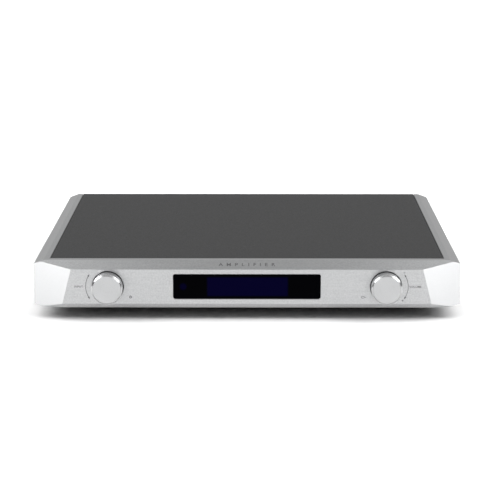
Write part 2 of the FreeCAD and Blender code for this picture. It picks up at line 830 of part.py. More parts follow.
def display():
    """The window in the front panel, and the display and its board behind it."""
    body = new_body()
    wall_back = FRONT + dim.window_wall
    sunk, flange_thick = 0.2, 1.5
    boss_wide, boss_tall = dim.window_wide - 2 * dim.glass_gap, dim.window_tall - 2 * dim.glass_gap
    boss = rounded(0, WINDOW_Z, boss_wide, boss_tall, dim.window_round - dim.glass_gap)
    grow(body, "Y", FRONT + sunk, wall_back, boss)
    flange_wide, flange_tall = dim.window_wide + 2 * WINDOW_FLANGE, dim.window_tall + 2 * WINDOW_FLANGE
    grow(body, "Y", wall_back, wall_back + flange_thick, rectangle(0, WINDOW_Z, flange_wide, flange_tall))
    keep("display_window", body)
    board_front = FRONT + dim.front_wall
    module_front = wall_back + flange_thick + LOOSE
    module_deep = board_front - module_front
    module_x, module_wide, module_tall = 0.6, 92.0, 26.0
    board_wide, board_tall = 176.0, 33.0
    sensor_x, sensor_radius = -64.0, 3.5
    module = middle_block(module_x, module_front, WINDOW_Z, module_wide, module_deep, module_tall)
    keep("display_module", module)
    keep("display_board", middle_block(0, board_front, WINDOW_Z, board_wide, BOARD_THICK, board_tall))
    keep("infrared_sensor", rod("Y", sensor_x, module_front, WINDOW_Z, sensor_radius, module_deep))


# ---------------------------------------------------------------- back

INLET_WIDE, INLET_TALL = 26.8, 30.8
SWITCH_WIDE, SWITCH_TALL = 14.6, 21.6
SOCKET_HOLE = 5.0
BASE_RADIUS = 5.5
USB_X = 108.0
USB_WIDE, USB_TALL = 12.0, 11.0
RCA_PLACES = [(x, SOCKET_Z + up) for x in (190.0, 171.0, 152.0) for up in (-8.5, 8.5)]
RCA_PLACES.append((131.0, SOCKET_Z - 8.5))
TRIGGER_PLACE = (131.0, SOCKET_Z + 8.5)
CAVITY_Z = SOCKET_Z + 5.5
DRAWER_Z = SOCKET_Z - 10.5
PIN_WIDE, PIN_TALL = 2.0, 4.0
PIN_PLACES = [(INLET_X + 7, CAVITY_Z - 2), (INLET_X - 7, CAVITY_Z - 2), (INLET_X, CAVITY_Z + 2)]
DRAWER_WIDE, DRAWER_TALL, DRAWER_DEEP = 24.0, 7.2, 16.0
BEZEL_ROUND = 1.5  # corner radius of the inlet's and the switch's bezels
TRIGGER_RADIUS = 3.0


def mains_inlet():
    """A three-pin inlet over a fuse drawer, in one housing."""
    bezel = BACK_OUT + 2.5
    back = BACK_OUT - 20
    cavity_floor = bezel - 17
    bezel_wide, bezel_tall = 31.0, 35.0
    pin_past = 19.0  # from the cavity's floor to the pins' tips, with the tails behind
    tail, room_behind = 5.0, 3.5
    body = new_body()
    grow(body, "Y", back, BACK_OUT, rectangle(INLET_X, SOCKET_Z, INLET_WIDE, INLET_TALL))
    grow(body, "Y", BACK_OUT, bezel, rounded(INLET_X, SOCKET_Z, bezel_wide, bezel_tall, BEZEL_ROUND))
    mouth_half_wide, mouth_half_tall, mouth_slant = 12.0, 8.2, 5.0
    mouth = cut_corners(INLET_X, CAVITY_Z, mouth_half_wide, mouth_half_tall, mouth_slant)
    carve(body, "Y", cavity_floor, bezel + OVER, mouth)
    blades = [rectangle(*place, PIN_WIDE, PIN_TALL) for place in PIN_PLACES]
    carve(body, "Y", back - OVER, cavity_floor + OVER, *blades)
    drawer_room = rectangle(INLET_X, DRAWER_Z, DRAWER_WIDE + 2 * LOOSE, DRAWER_TALL + 2 * LOOSE)
    carve(body, "Y", bezel - DRAWER_DEEP - room_behind, bezel + OVER, drawer_room)
    keep("mains_inlet", body)
    pin_long = cavity_floor - back + pin_past
    pins = [middle_block(x, back - tail, z, PIN_WIDE, pin_long, PIN_TALL) for x, z in PIN_PLACES]
    keep("inlet_pins", group(*pins))
    fuse_drawer(bezel)


def cut_corners(x, z, half_wide, half_tall, slant):
    """A socket's mouth: a rectangle about its middle with its two upper corners cut off."""
    left, right, low, high = x - half_wide, x + half_wide, z - half_tall, z + half_tall
    return polygon(
        [
            (left, low),
            (right, low),
            (right, high - slant),
            (right - slant, high),
            (left + slant, high),
            (left, high - slant),
        ]
    )


def fuse_drawer(bezel):
    """The drawer under the inlet, with a face plate and a tray, and the fuse in the tray."""
    plate_back, plate_front = bezel + 0.1, bezel + 1.5
    plate_wide, plate_tall, plate_round = 26.6, 9.2, 0.8
    fuse_radius, fuse_long, room = 2.6, 20.0, 0.2
    fuse_y = bezel - DRAWER_DEEP / 2
    body = new_body()
    grow(body, "Y", bezel - DRAWER_DEEP, plate_back, rectangle(INLET_X, DRAWER_Z, DRAWER_WIDE, DRAWER_TALL))
    grow(body, "Y", plate_back, plate_front, rounded(INLET_X, DRAWER_Z, plate_wide, plate_tall, plate_round))
    tray_half_wide, tray_half_deep = fuse_long / 2 + room + FIT, fuse_radius + room
    tray = rectangle(INLET_X, fuse_y, 2 * tray_half_wide, 2 * tray_half_deep)
    carve(body, "Z", DRAWER_Z - tray_half_deep, DRAWER_Z + DRAWER_TALL / 2 + OVER, tray)
    keep("fuse_drawer", body)
    keep("fuse", rod("X", INLET_X - fuse_long / 2, fuse_y, DRAWER_Z - FIT, fuse_radius, fuse_long))


def power_switch():
    """A rocker switch: a frame with a deep well, and a rocker on two short pins."""
    frame_deep, well_deep, bezel_thick = 16.0, 9.0, 2.0
    bezel_wide, bezel_tall = 17.0, 24.6
    well_wide, well_tall = 12.0, 19.6
    pin_radius, pin_half, rocker_half = 1.0, 6.8, 5.8
    bezel = BACK_OUT + bezel_thick
    pivot_y = BACK_OUT - 2
    frame = new_body()
    grow(frame, "Y", BACK_OUT - frame_deep, BACK_OUT, rectangle(SWITCH_X, SOCKET_Z, SWITCH_WIDE, SWITCH_TALL))
    grow(frame, "Y", BACK_OUT, bezel, rounded(SWITCH_X, SOCKET_Z, bezel_wide, bezel_tall, BEZEL_ROUND))
    well = rectangle(SWITCH_X, SOCKET_Z, well_wide, well_tall)
    carve(frame, "Y", BACK_OUT - well_deep, bezel + OVER, well)
    hole_half = pin_half + LOOSE
    pin_holes = rod("X", SWITCH_X - hole_half, pivot_y, SOCKET_Z, pin_radius + dim.running_gap, 2 * hole_half)
    keep("power_switch_frame", cut(frame, pin_holes))
    rocker = new_body()
    half = [(-5.0, 2.2), (-0.5, 8.0), (6.0, 8.3), (5.0, 4.2), (4.6, 0)]
    outline = half + [(out, -up) for out, up in reversed(half[:-1])]
    grow(rocker, "X", Size.of(-rocker_half), Size.of(rocker_half), polygon(outline))
    grow(rocker, "X", Size.of(-pin_half), Size.of(pin_half), circle(0, 0, pin_radius))
    rocker.Placement = Placement(Vector(), Rotation(DIRECTIONS["X"], -dim.rocker_tilt.number))
    keep("power_rocker", put(rocker, SWITCH_X, pivot_y, SOCKET_Z))


def rca_sockets():
    """Phono sockets: a flanged insulator through the panel, with a metal shell round its nose."""
    flange = BACK_OUT + 2
    nose = BACK_OUT + 11
    tail = BACK_IN - 4
    nose_radius, flange_radius, bore, bore_end = 3.5, 6.5, 1.65, nose - 9
    nose_in, shell_round = 0.6, 0.4
    shell_in, shell_out = nose_radius + dim.screw_gap, 4.15
    insulator = turned(
        "Y",
        [
            (tail, 0),
            (tail, SOCKET_HOLE - FIT),
            (BACK_OUT, SOCKET_HOLE - FIT),
            (BACK_OUT, flange_radius),
            (flange, flange_radius),
            (flange, nose_radius),
            (nose - nose_in, nose_radius),
            (nose - nose_in, bore),
            (bore_end, bore),
            (bore_end, 0),
        ],
    )
    places = [(x, 0, z) for x, z in RCA_PLACES]
    keep("rca_insulators", copies(insulator, places))
    shell_outline = [
        (flange, shell_in),
        (flange, shell_out),
        (nose - shell_round, shell_out),
        (nose, shell_out - shell_round),
        (nose, shell_in),
    ]
    keep("rca_shells", copies(turned("Y", shell_outline), places))


def small_sockets():
    """The square data socket and the small trigger jack."""
    body = new_body()
    face = BACK_OUT + 0.8
    tail = BACK_IN - 12
    mouth_deep, mouth_half_wide, mouth_half_tall, mouth_slant = 10.0, 4.25, 3.9, 1.8
    tongue_wide, tongue_tall, tongue_in = 5.6, 3.2, 1.0
    grow(body, "Y", tail, face, rectangle(USB_X, SOCKET_Z, USB_WIDE, USB_TALL))
    mouth = cut_corners(USB_X, SOCKET_Z, mouth_half_wide, mouth_half_tall, mouth_slant)
    carve(body, "Y", face - mouth_deep, face + OVER, mouth)
    grow(body, "Y", face - mouth_deep, face - tongue_in, rectangle(USB_X, SOCKET_Z, tongue_wide, tongue_tall))
    keep("usb_socket", body)
    body_radius, nut_radius, bore, bore_deep = 4.8, 4.4, 1.8, 10.0
    nut_face, nose = BACK_OUT + 2, BACK_OUT + 3.5
    jack = turned(
        "Y",
        [
            (tail, 0),
            (tail, body_radius),
            (BACK_IN, body_radius),
            (BACK_IN, TRIGGER_RADIUS),
            (BACK_OUT, TRIGGER_RADIUS),
            (BACK_OUT, nut_radius),
            (nut_face, nut_radius),
            (nut_face, TRIGGER_RADIUS),
            (nose, TRIGGER_RADIUS),
            (nose, bore),
            (BACK_OUT - bore_deep, bore),
            (BACK_OUT - bore_deep, 0),
        ],
    )
    keep("trigger_jack", put(jack, TRIGGER_PLACE[0], 0, TRIGGER_PLACE[1]))


def loudspeaker_posts():
    """Binding posts: base and stud stay, and a captive washer and a fluted cap screw out along the stud."""
    base_face = BACK_OUT + dim.post_flange
    washer_back = base_face + dim.screw_gap
    cap_back = washer_back + dim.post_washer + dim.screw_gap
    cap_face = cap_back + dim.post_cap
    places = [(x, 0, SOCKET_Z) for x in POSTS_X]
    keep("post_bases", copies(post_base(base_face), places))
    keep("post_studs", copies(post_stud(cap_face - 1), places))
    washer_radius = dim.post_radius - 0.6
    bore = dim.stud_radius + dim.running_gap
    for number, x in enumerate(POSTS_X, 1):
        washer_outline = [
            (washer_back, bore),
            (washer_back, washer_radius),
            (washer_back + dim.post_washer, washer_radius),
            (washer_back + dim.post_washer, bore),
        ]
        keep(f"post_washer_{number}", put(turned("Y", washer_outline), x, 0, SOCKET_Z))
        keep(f"post_cap_{number}", put(post_cap(cap_back, cap_face, bore), x, 0, SOCKET_Z))


def post_base(face):
    """The plastic base of one post, through the panel and flanged outside it."""
    bore = dim.stud_radius + 0.02
    tail, flange_radius, slope = BACK_IN - 1, 8.5, 0.6
    return turned(
        "Y",
        [
            (tail, bore),
            (tail, BASE_RADIUS),
            (BACK_OUT, BASE_RADIUS),
            (BACK_OUT, flange_radius),
            (face - slope, flange_radius),
            (face, flange_radius - slope),
            (face, bore),
        ],
    )


def post_stud(end):
    """The metal stud of one post, with a bore for a banana plug."""
    tail, shoulder, step = BACK_IN - 9, BACK_IN - 1, 0.6
    bore_floor = end - 16
    return turned(
        "Y",
        [
            (tail, 0),
            (tail, dim.stud_radius - step),
            (shoulder, dim.stud_radius - step),
            (shoulder, dim.stud_radius),
            (end, dim.stud_radius),
            (end, dim.banana_radius),
            (bore_floor, dim.banana_radius),
            (bore_floor, 0),
        ],
    )


def post_cap(back, face, bore):
    """A cap with twelve flutes, which stop short of a plain collar at its back."""
    collar, round_front = 3.0, 1.0
    cap_outline = [
        (back, bore),
        (back, dim.post_radius - dim.edge_break),
        (back + dim.edge_break, dim.post_radius),
        (face - round_front, dim.post_radius),
        (face, dim.post_radius - round_front),
        (face, bore),
    ]
    cap = turned("Y", cap_outline)
    flute_count, flute_radius = 12, 0.9
    ring = dim.post_radius + 0.3
    flutes = [
        circle(ring * math.cos(angle), ring * math.sin(angle), flute_radius)
        for angle in (2 * math.pi * index / flute_count for index in range(flute_count))
    ]
    carve(cap, "Y", back + collar, face + OVER, *flutes)
    return cap


# ---------------------------------------------------------------- inside


def transformer():
    """A toroidal transformer on the bottom plate under a clamp plate, on one bolt."""
    x, y = TRANSFORMER
    core_tall, clamp_thick, clamp_radius = 34.0, 2.0, 32.0
    low = FLOOR + dim.plate_thick
    high = low + core_tall
    half = [(8, 14), (2, 20), (0, 28), (0, 44), (3, 51), (9, 54)]
    upper = [(high - inward, radius) for inward, radius in reversed(half)]
    core = turned("Z", [(low + inward, radius) for inward, radius in half] + upper)
    keep("toroidal_transformer", put(core, x, y, 0))
    bore = BOLT_RADIUS + FIT
    top = high + clamp_thick
    clamp = turned("Z", [(high, bore), (high, clamp_radius), (top, clamp_radius), (top, bore)])
    keep("transformer_clamp_plate", put(clamp, x, y, 0))
    head_radius, head_tall = 5.5, 3.5
    bolt = screw("Z", top, core_tall + clamp_thick + dim.plate_thick, -1, head_radius, head_tall, BOLT_RADIUS)
    keep("transformer_bolt", put(bolt, x, y, 0))


def boards():
    """Three circuit boards on standoffs, with their screws."""
    standoff_radius, screw_past = 3.2, 6.0
    places = []
    for name, (x, y, wide, deep) in BOARDS.items():
        corners = board_corners(name)
        plate = block(x - wide / 2, y - deep / 2, BOARD_LOW, wide, deep, BOARD_THICK)
        holes = screw_holes("Z", corners, BOARD_LOW - OVER, BOARD_THICK + 2 * OVER)
        keep(name, cut(plate, *holes))
        places += [(corner_x, corner_y, 0) for corner_x, corner_y in corners]
    low = FLOOR + dim.plate_thick
    bore = dim.screw_radius + dim.screw_gap
    outline = [(low, bore), (low, standoff_radius), (BOARD_LOW, standoff_radius), (BOARD_LOW, bore)]
    keep("board_standoffs", copies(turned("Z", outline), places))
    keep("board_screws", copies(screw("Z", BOARD_TOP, BOARD_THICK + screw_past, -1), places))


def power_parts():
    """Four reservoir capacitors and a bridge rectifier on the power board."""
    x, y, _, _ = BOARDS["power_board"]
    radius, tall, edge = 11.0, 26.0, 1.0
    can_outline = [
        (BOARD_TOP, 0),
        (BOARD_TOP, radius),
        (BOARD_TOP + tall - edge, radius),
        (BOARD_TOP + tall, radius - edge),
        (BOARD_TOP + tall, 0),
    ]
    places = [(x + over, y + back, 0) for over in (-12.0, 12.0) for back in (-34.0, -10.0)]
    keep("reservoir_capacitors", copies(turned("Z", can_outline), places))
    bridge_wide, bridge_thick, bridge_tall = 28.0, 7.0, 20.0
    bridge = block(x - bridge_wide / 2, y + 20, BOARD_TOP, bridge_wide, bridge_thick, bridge_tall)
    keep("bridge_rectifier", bridge)


def amplifier_parts():
    """A finned heat sink and the output coils on the amplifier board."""
    x, y, _, _ = BOARDS["amplifier_board"]
    sink_wide, sink_deep, sink_tall = 90.0, 44.0, 26.0
    base_thick, fin_thick, fin_count = 5.0, 2.0, 13
    low_x, low_y = x - sink_wide / 2, y - 48.0
    base = block(low_x, low_y, BOARD_TOP, sink_wide, sink_deep, base_thick)
    pitch = (sink_wide - fin_thick) / (fin_count - 1)
    fin_low, fin_tall = BOARD_TOP + base_thick - OVER, sink_tall - base_thick + OVER
    fins = [
        block(low_x + pitch * index, low_y, fin_low, fin_thick, sink_deep, fin_tall)
        for index in range(fin_count)
    ]
    keep("heatsink", fuse(base, *fins))
    inner, outer, edge, coil_tall = 4.5, 10.0, 1.5, 12.0
    coil_outline = [
        (BOARD_TOP, inner),
        (BOARD_TOP, outer - edge),
        (BOARD_TOP + edge, outer),
        (BOARD_TOP + coil_tall - edge, outer),
        (BOARD_TOP + coil_tall, outer - edge),
        (BOARD_TOP + coil_tall, inner),
    ]
    coil_pitch, first_x = 24.0, x - 36
    places = [(first_x + coil_pitch * index, y + 16, 0) for index in range(4)]
    keep("output_inductors", copies(turned("Z", coil_outline), places))


# ---------------------------------------------------------------- build, check and write


def build():
    front_panel()
    side_rail("left_side_rail", -1)
    side_rail("right_side_rail", 1)
    top_cover()
    bottom_plate()
    rear_panel()
    corner_blocks()
    case_screws()
    feet()
    control("input", -1)
    control("volume", 1)
    encoder_nuts()
    display()
    mains_inlet()
    power_switch()
    rca_sockets()
    small_sockets()
    loudspeaker_posts()
    transformer()
    boards()
    power_parts()
    amplifier_parts()


def check():
    """Stops if an object failed, a cut took nothing away, or a piece has no sound shape."""
    for thing in DOC.Objects:
        if {"Invalid", "Error"} & set(thing.State):
            raise RuntimeError(f"{thing.Name} ({thing.TypeId}) is {thing.State}")
        if thing.TypeId in ("PartDesign::Pocket", "PartDesign::Groove", "PartDesign::SubtractiveLoft"):
            if thing.BaseFeature.Shape.Volume - thing.Shape.Volume < 0.1:
                raise RuntimeError(f"{thing.Name} takes nothing away")
    for label, thing in PIECES.items():
        if thing.Shape.isNull() or not thing.Shape.isValid() or not thing.Shape.Solids:
            raise RuntimeError(f"{label} has no sound shape")


def write():
    os.makedirs("parts", exist_ok=True)
    for label, thing in PIECES.items():
        thing.Shape.exportStep(os.path.join("parts", f"{label}.step"))
        print(f"{label}: {len(thing.Shape.Solids)} solids, {thing.Shape.Volume / 1000:.2f} cm3")


build()
DOC.recompute()
check()
write()
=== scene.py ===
import math

import bpy
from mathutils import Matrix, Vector


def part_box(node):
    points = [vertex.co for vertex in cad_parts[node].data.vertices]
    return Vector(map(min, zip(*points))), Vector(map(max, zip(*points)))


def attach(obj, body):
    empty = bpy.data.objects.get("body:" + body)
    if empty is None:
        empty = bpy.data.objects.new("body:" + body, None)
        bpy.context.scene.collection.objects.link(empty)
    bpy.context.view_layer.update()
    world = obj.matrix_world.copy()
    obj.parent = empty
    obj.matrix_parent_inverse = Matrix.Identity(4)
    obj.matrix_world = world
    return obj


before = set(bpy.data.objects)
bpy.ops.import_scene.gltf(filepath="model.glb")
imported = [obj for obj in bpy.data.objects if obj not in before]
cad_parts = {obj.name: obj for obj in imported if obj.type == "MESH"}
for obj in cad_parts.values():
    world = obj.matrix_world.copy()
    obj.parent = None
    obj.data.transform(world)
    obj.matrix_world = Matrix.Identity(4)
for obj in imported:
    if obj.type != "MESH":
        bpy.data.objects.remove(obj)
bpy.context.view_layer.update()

# The amplifier's finishes, printed markings, studio and camera. Lengths are in metres, in the row frame:
# x runs to the right of the front, y to the back and z up.

MM = 0.001

# ---------------------------------------------------------------- places, from the frame

FACE_LOW, FACE_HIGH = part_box("front_panel")
FRONT_Y = FACE_LOW.y
ROOF_Z = FACE_HIGH.z
PANEL_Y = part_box("rear_panel")[1].y

KNOBS = "input_knob", "volume_knob"
RAILS = "left_side_rail", "right_side_rail"
RAMP_SOCKETS = "From Min", "From Max", "To Min", "To Max"


def middle(node):
    low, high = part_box(node)
    return (low + high) / 2


def across(node):
    """How far to the right a node's middle lies, in mm."""
    return middle(node).x / MM


# ---------------------------------------------------------------- material kit


class Finish:
    """Builds one procedural material around a Principled shader. Textures use the row frame."""

    def __init__(self, name, **sockets):
        """sockets gives the shader's uniform values, by the socket's name with _ for each space."""
        self.material = bpy.data.materials.new(name)
        self.material.use_nodes = True
        self.tree = self.material.node_tree
        self.shader = self.tree.nodes["Principled BSDF"]
        for socket, value in sockets.items():
            self.shader.inputs[socket.replace("_", " ")].default_value = value
        self.place = self.add("ShaderNodeTexCoord").outputs["Object"]
        self.normal = None

    def add(self, kind, **settings):
        node = self.tree.nodes.new(kind)
        for setting, value in settings.items():
            setattr(node, setting, value)
        return node

    def feed(self, socket, value):
        """Links a socket to another's output, or sets it to a plain value."""
        if isinstance(value, bpy.types.NodeSocket):
            self.tree.links.new(value, socket)
        else:
            socket.default_value = value

    def stretched(self, stretch):
        node = self.add("ShaderNodeMapping")
        self.feed(node.inputs["Vector"], self.place)
        node.inputs["Scale"].default_value = stretch
        return node.outputs["Vector"]

    def noise(self, grain, detail=3.0, stretch=None, rough=0.5):
        """Noise from 0 to 1 whose features are about as large as grain."""
        node = self.add("ShaderNodeTexNoise")
        self.feed(node.inputs["Vector"], self.stretched(stretch) if stretch else self.place)
        node.inputs["Scale"].default_value = 1 / grain
        node.inputs["Detail"].default_value = detail
        node.inputs["Roughness"].default_value = rough
        return node.outputs["Fac"]

    def math(self, operation, first, second=0.0):
        node = self.add("ShaderNodeMath", operation=operation)
        self.feed(node.inputs[0], first)
        self.feed(node.inputs[1], second)
        return node.outputs[0]

    def span(self, value, low, high, out_low=0.0, out_high=1.0, smooth=False):
        """value mapped from low..high to out_low..out_high, and held at the ends."""
        node = self.add("ShaderNodeMapRange")
        if smooth:
            node.interpolation_type = "SMOOTHSTEP"
        self.feed(node.inputs["Value"], value)
        for socket, number in zip(RAMP_SOCKETS, (low, high, out_low, out_high)):
            node.inputs[socket].default_value = number
        return node.outputs["Result"]

    def spread(self, noise, out_low=0.0, out_high=1.0):
        """A noise, which rarely leaves 0.3 to 0.7, mapped to out_low..out_high."""
        return self.span(noise, 0.3, 0.7, out_low, out_high)

    def mix(self, factor, first, second):
        """A colour between two others."""
        node = self.add("ShaderNodeMix", data_type="RGBA")
        self.feed(node.inputs[0], factor)
        for socket, colour in ((node.inputs[6], first), (node.inputs[7], second)):
            self.feed(socket, colour if isinstance(colour, bpy.types.NodeSocket) else (*colour, 1))
        return node.outputs[2]

    def axes(self):
        node = self.add("ShaderNodeSeparateXYZ")
        self.feed(node.inputs[0], self.place)
        return node.outputs

    def from_axis(self, axis, centre):
        """Distance from a line along an axis through centre."""
        out = self.axes()
        others = [index for index in range(3) if index != axis]
        squares = [
            self.math("POWER", self.math("ABSOLUTE", self.math("SUBTRACT", out[index], centre[index])), 2.0)
            for index in others
        ]
        return self.math("SQRT", self.math("ADD", *squares))

    def inside(self, axis, low, high, soft=0.05 * MM):
        """1 between two places along an axis, and 0 outside, with soft edges."""
        along = self.axes()[axis]
        rise = self.span(along, low - soft, low + soft)
        fall = self.span(along, high - soft, high + soft, 1.0, 0.0)
        return self.math("MULTIPLY", rise, fall)

    def colour(self, value):
        self.feed(self.shader.inputs["Base Color"], value)

    def rough(self, value):
        self.feed(self.shader.inputs["Roughness"], value)

    def round_edges(self, radius):
        """Softens hard edges in the shading, as a broken edge does."""
        node = self.add("ShaderNodeBevel", samples=4)
        node.inputs["Radius"].default_value = radius
        self.normal = node.outputs["Normal"]
        self.feed(self.shader.inputs["Normal"], self.normal)

    def bump(self, height, depth, strength=1.0):
        """Relief of that depth, over any relief so far."""
        node = self.add("ShaderNodeBump")
        node.inputs["Strength"].default_value = strength
        node.inputs["Distance"].default_value = depth
        self.feed(node.inputs["Height"], height)
        if self.normal is not None:
            self.feed(node.inputs["Normal"], self.normal)
        self.normal = node.outputs["Normal"]
        self.feed(self.shader.inputs["Normal"], self.normal)

    def speckle(self, first, second, grain):
        """Base colour that varies between two colours with a noise."""
        self.colour(self.mix(self.span(self.noise(grain), 0.35, 0.65), first, second))


# ---------------------------------------------------------------- finishes of the case


def silver_case(name, paint_recess_shade=False):
    """Fine blasted and anodised aluminium, with a faint brushed drift along its length.

    With the flag set, painted shade darkens the recesses behind the knobs to near black.
    """
    dark, light = (0.345, 0.349, 0.354), (0.445, 0.448, 0.451)
    fine, clouded = (0.405, 0.408, 0.412), (0.39, 0.394, 0.4)
    made = Finish(name, Metallic=1.0)
    drift = made.noise(0.09, detail=2.0)
    grain = made.noise(0.0016, rough=0.7)
    brushed = made.noise(0.0014, detail=4.0, stretch=(0.04, 1, 1))
    mixed = made.math("ADD", made.math("MULTIPLY", grain, 0.8), made.math("MULTIPLY", brushed, 0.2))
    coarse = made.mix(made.span(mixed, 0.36, 0.64), dark, light)
    shade = made.mix(facet_mask(made), coarse, fine)
    anodised = made.mix(made.spread(drift, 0.0, 0.35), shade, clouded)
    if paint_recess_shade:
        # Painted shade: the recesses round the knobs are painted near black, standing in for the shade in
        # the gaps.
        anodised = made.mix(recess_shade_mask(made), anodised, (0.02, 0.02, 0.02))
    made.colour(anodised)
    made.rough(made.spread(mixed, 0.32, 0.37))
    made.round_edges(0.35 * MM)
    made.bump(mixed, 0.008 * MM)
    return made.material


def facet_mask(made):
    """Nearly 1 on faces that lean to a side, such as the smoother corner facets, and 0 on the others."""
    normal = made.add("ShaderNodeSeparateXYZ")
    made.feed(normal.inputs[0], made.add("ShaderNodeNewGeometry").outputs["Normal"])
    lean = made.math("ABSOLUTE", normal.outputs[0])
    return made.span(lean, 0.08, 0.2, 0.0, 0.85)


def recess_shade_mask(made):
    """Painted shade: 1 inside the two recesses behind the knobs, where shade falls in the gap round each
    knob, and 0 on the rest of the front panel.
    """
    past_knob, edge = 1.1 * MM, 0.3 * MM
    low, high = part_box("input_knob")
    reach = (high.x - low.x) / 2 + past_knob
    behind = made.span(made.axes()[1], FRONT_Y + edge, FRONT_Y + 2 * edge)
    rounds = [made.span(made.from_axis(1, middle(node)), reach, reach + edge, 1.0, 0.0) for node in KNOBS]
    return made.math("MULTIPLY", behind, made.math("MAXIMUM", *rounds))


def knob_metal(node):
    """Turned aluminium: fine rings about the knob's axis, and a side painted lighter as a painted reflection
    of the bright studio.
    """
    grooves_per_metre = 5200
    dark, light, side_reflection_colour = (0.375, 0.379, 0.384), (0.435, 0.437, 0.441), (0.55, 0.553, 0.558)
    face_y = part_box(node)[0].y
    side_starts, side_full, side_gloss = face_y + 0.2 * MM, face_y + 0.9 * MM, 0.06
    made = Finish(f"{node}_metal", Metallic=1.0, Anisotropic=0.2)
    rings = made.add("ShaderNodeTexNoise", noise_dimensions="1D")
    rings.inputs["Scale"].default_value = grooves_per_metre
    rings.inputs["Detail"].default_value = 4
    made.feed(rings.inputs["W"], made.from_axis(1, middle(node)))
    grooves = rings.outputs["Fac"]
    side = made.span(made.axes()[1], side_starts, side_full)
    # Painted reflection: the knob's side gets a lighter colour than its face, standing in for the bright
    # studio it reflects.
    made.colour(made.mix(side, made.mix(made.spread(grooves), dark, light), side_reflection_colour))
    satin = made.spread(grooves, 0.27, 0.35)
    made.rough(made.math("SUBTRACT", satin, made.math("MULTIPLY", side, side_gloss)))
    tangent = made.add("ShaderNodeTangent", direction_type="RADIAL", axis="Y")
    made.feed(made.shader.inputs["Tangent"], tangent.outputs["Tangent"])
    made.round_edges(0.25 * MM)
    made.bump(grooves, 0.006 * MM)
    return made.material


def dark_cover():
    """Dark grey powder coat with a fine orange-peel grain."""
    made = Finish("dark_cover", Specular_IOR_Level=0.2)
    grain = made.noise(0.0009)
    made.speckle((0.0135, 0.0135, 0.014), (0.0195, 0.0195, 0.02), 0.0011)
    made.rough(made.spread(grain, 0.5, 0.62))
    made.round_edges(0.3 * MM)
    made.bump(grain, 0.05 * MM, strength=0.5)
    return made.material


def rear_paint():
    """Black paint, smoother than the cover's coat."""
    made = Finish("rear_paint")
    grain = made.noise(0.0007)
    made.speckle((0.018, 0.018, 0.019), (0.027, 0.027, 0.028), 0.0009)
    made.rough(made.spread(grain, 0.36, 0.5))
    made.bump(grain, 0.04 * MM, strength=0.5)
    return made.material


# ---------------------------------------------------------------- the window and its display


def window_acrylic():
    """Gloss black acrylic, through which the display's dark blue field and a sensor show as lit dots."""
    made = Finish("window_acrylic", Base_Color=(0.0002, 0.0002, 0.0003, 1), Specular_IOR_Level=0.01)
    area = made.math("MAXIMUM", blue_field(made), sensor_spot(made))
    lit = made.math("MULTIPLY", display_dots(made), area)
    glow = made.mix(made.math("MINIMUM", lit, 1.0), (0.0, 0.0, 0.0005), (0.0006, 0.0, 0.0185))
    made.feed(made.shader.inputs["Emission Color"], glow)
    made.shader.inputs["Emission Strength"].default_value = 1.0
    scuffs = made.noise(0.02, detail=5.0)
    made.rough(made.span(scuffs, 0.4, 0.7, 0.05, 0.09))
    return made.material


def blue_field(made):
    """1 over the display's lit area, with soft edges."""
    half_tall, inset, soft = 9.6 * MM, 5.6 * MM, 0.9 * MM
    low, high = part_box("display_module")
    height = middle("display_window").z
    along = made.inside(0, low.x + inset, high.x - inset, soft)
    up = made.inside(2, height - half_tall, height + half_tall, soft)
    return made.math("MULTIPLY", along, up)


def sensor_spot(made):
    """A dim round spot in front of the infrared sensor."""
    core, rim, strength = 2.2 * MM, 4.4 * MM, 0.75
    return made.span(made.from_axis(1, middle("infrared_sensor")), core, rim, strength, 0.0, smooth=True)


def display_dots(made):
    """The display's grid of dots, as a strength near 1."""
    half_pitch = 0.45 * MM
    out = made.axes()
    waves = [
        made.span(made.math("PINGPONG", out[axis], half_pitch), 0.0, half_pitch, 0.8, 1.1) for axis in (0, 2)
    ]
    return made.math("MULTIPLY", *waves)


# ---------------------------------------------------------------- other materials


def plated(name, first, second, roughness):
    """A plated metal with faint stains and fine tool marks."""
    made = Finish(name, Metallic=1.0)
    marks = made.noise(0.0005)
    made.speckle(first, second, 0.004)
    made.rough(made.spread(marks, roughness - 0.06, roughness + 0.08))
    made.round_edges(0.2 * MM)
    made.bump(marks, 0.006 * MM)
    return made.material


def moulded(name, first, second, roughness=0.45, grain=0.0006, depth=0.03 * MM):
    """Moulded plastic with a fine spark-eroded texture."""
    made = Finish(name)
    texture = made.noise(grain)
    made.speckle(first, second, grain * 3)
    made.rough(made.spread(texture, roughness - 0.07, roughness + 0.07))
    made.round_edges(0.2 * MM)
    made.bump(texture, depth, strength=0.5)
    return made.material


def post_plastic(node, first, second):
    """A glossy fluted moulding round a gold-plated core, which shows as a ring on its end."""
    core_radius, edge = 5.0 * MM, 0.1 * MM
    made = Finish(f"{node}_plastic")
    core = made.span(made.from_axis(1, middle(node)), core_radius - edge, core_radius, 1.0, 0.0)
    texture = made.noise(0.0008)
    plastic = made.mix(made.span(texture, 0.35, 0.65), first, second)
    made.colour(made.mix(core, plastic, (0.82, 0.58, 0.22)))
    made.feed(made.shader.inputs["Metallic"], core)
    made.rough(made.spread(texture, 0.16, 0.28))
    made.round_edges(0.2 * MM)
    made.bump(texture, 0.01 * MM, strength=0.5)
    return made.material


def socket_plastic():
    """White insulators above and red ones below, and an orange one for the digital socket."""
    white, red, orange = (0.62, 0.62, 0.6), (0.42, 0.012, 0.012), (0.62, 0.2, 0.02)
    digital_wide, far = 16 * MM, 1.0
    low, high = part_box("rca_insulators")
    made = Finish("socket_plastic", Roughness=0.4)
    upper = made.inside(2, (low.z + high.z) / 2, high.z + far)
    digital = made.inside(0, low.x - far, low.x + digital_wide)
    whole = made.mix(digital, made.mix(upper, red, white), orange)
    made.colour(made.mix(made.spread(made.noise(0.0008), 0.0, 0.25), whole, (0.2, 0.2, 0.2)))
    made.round_edges(0.2 * MM)
    return made.material


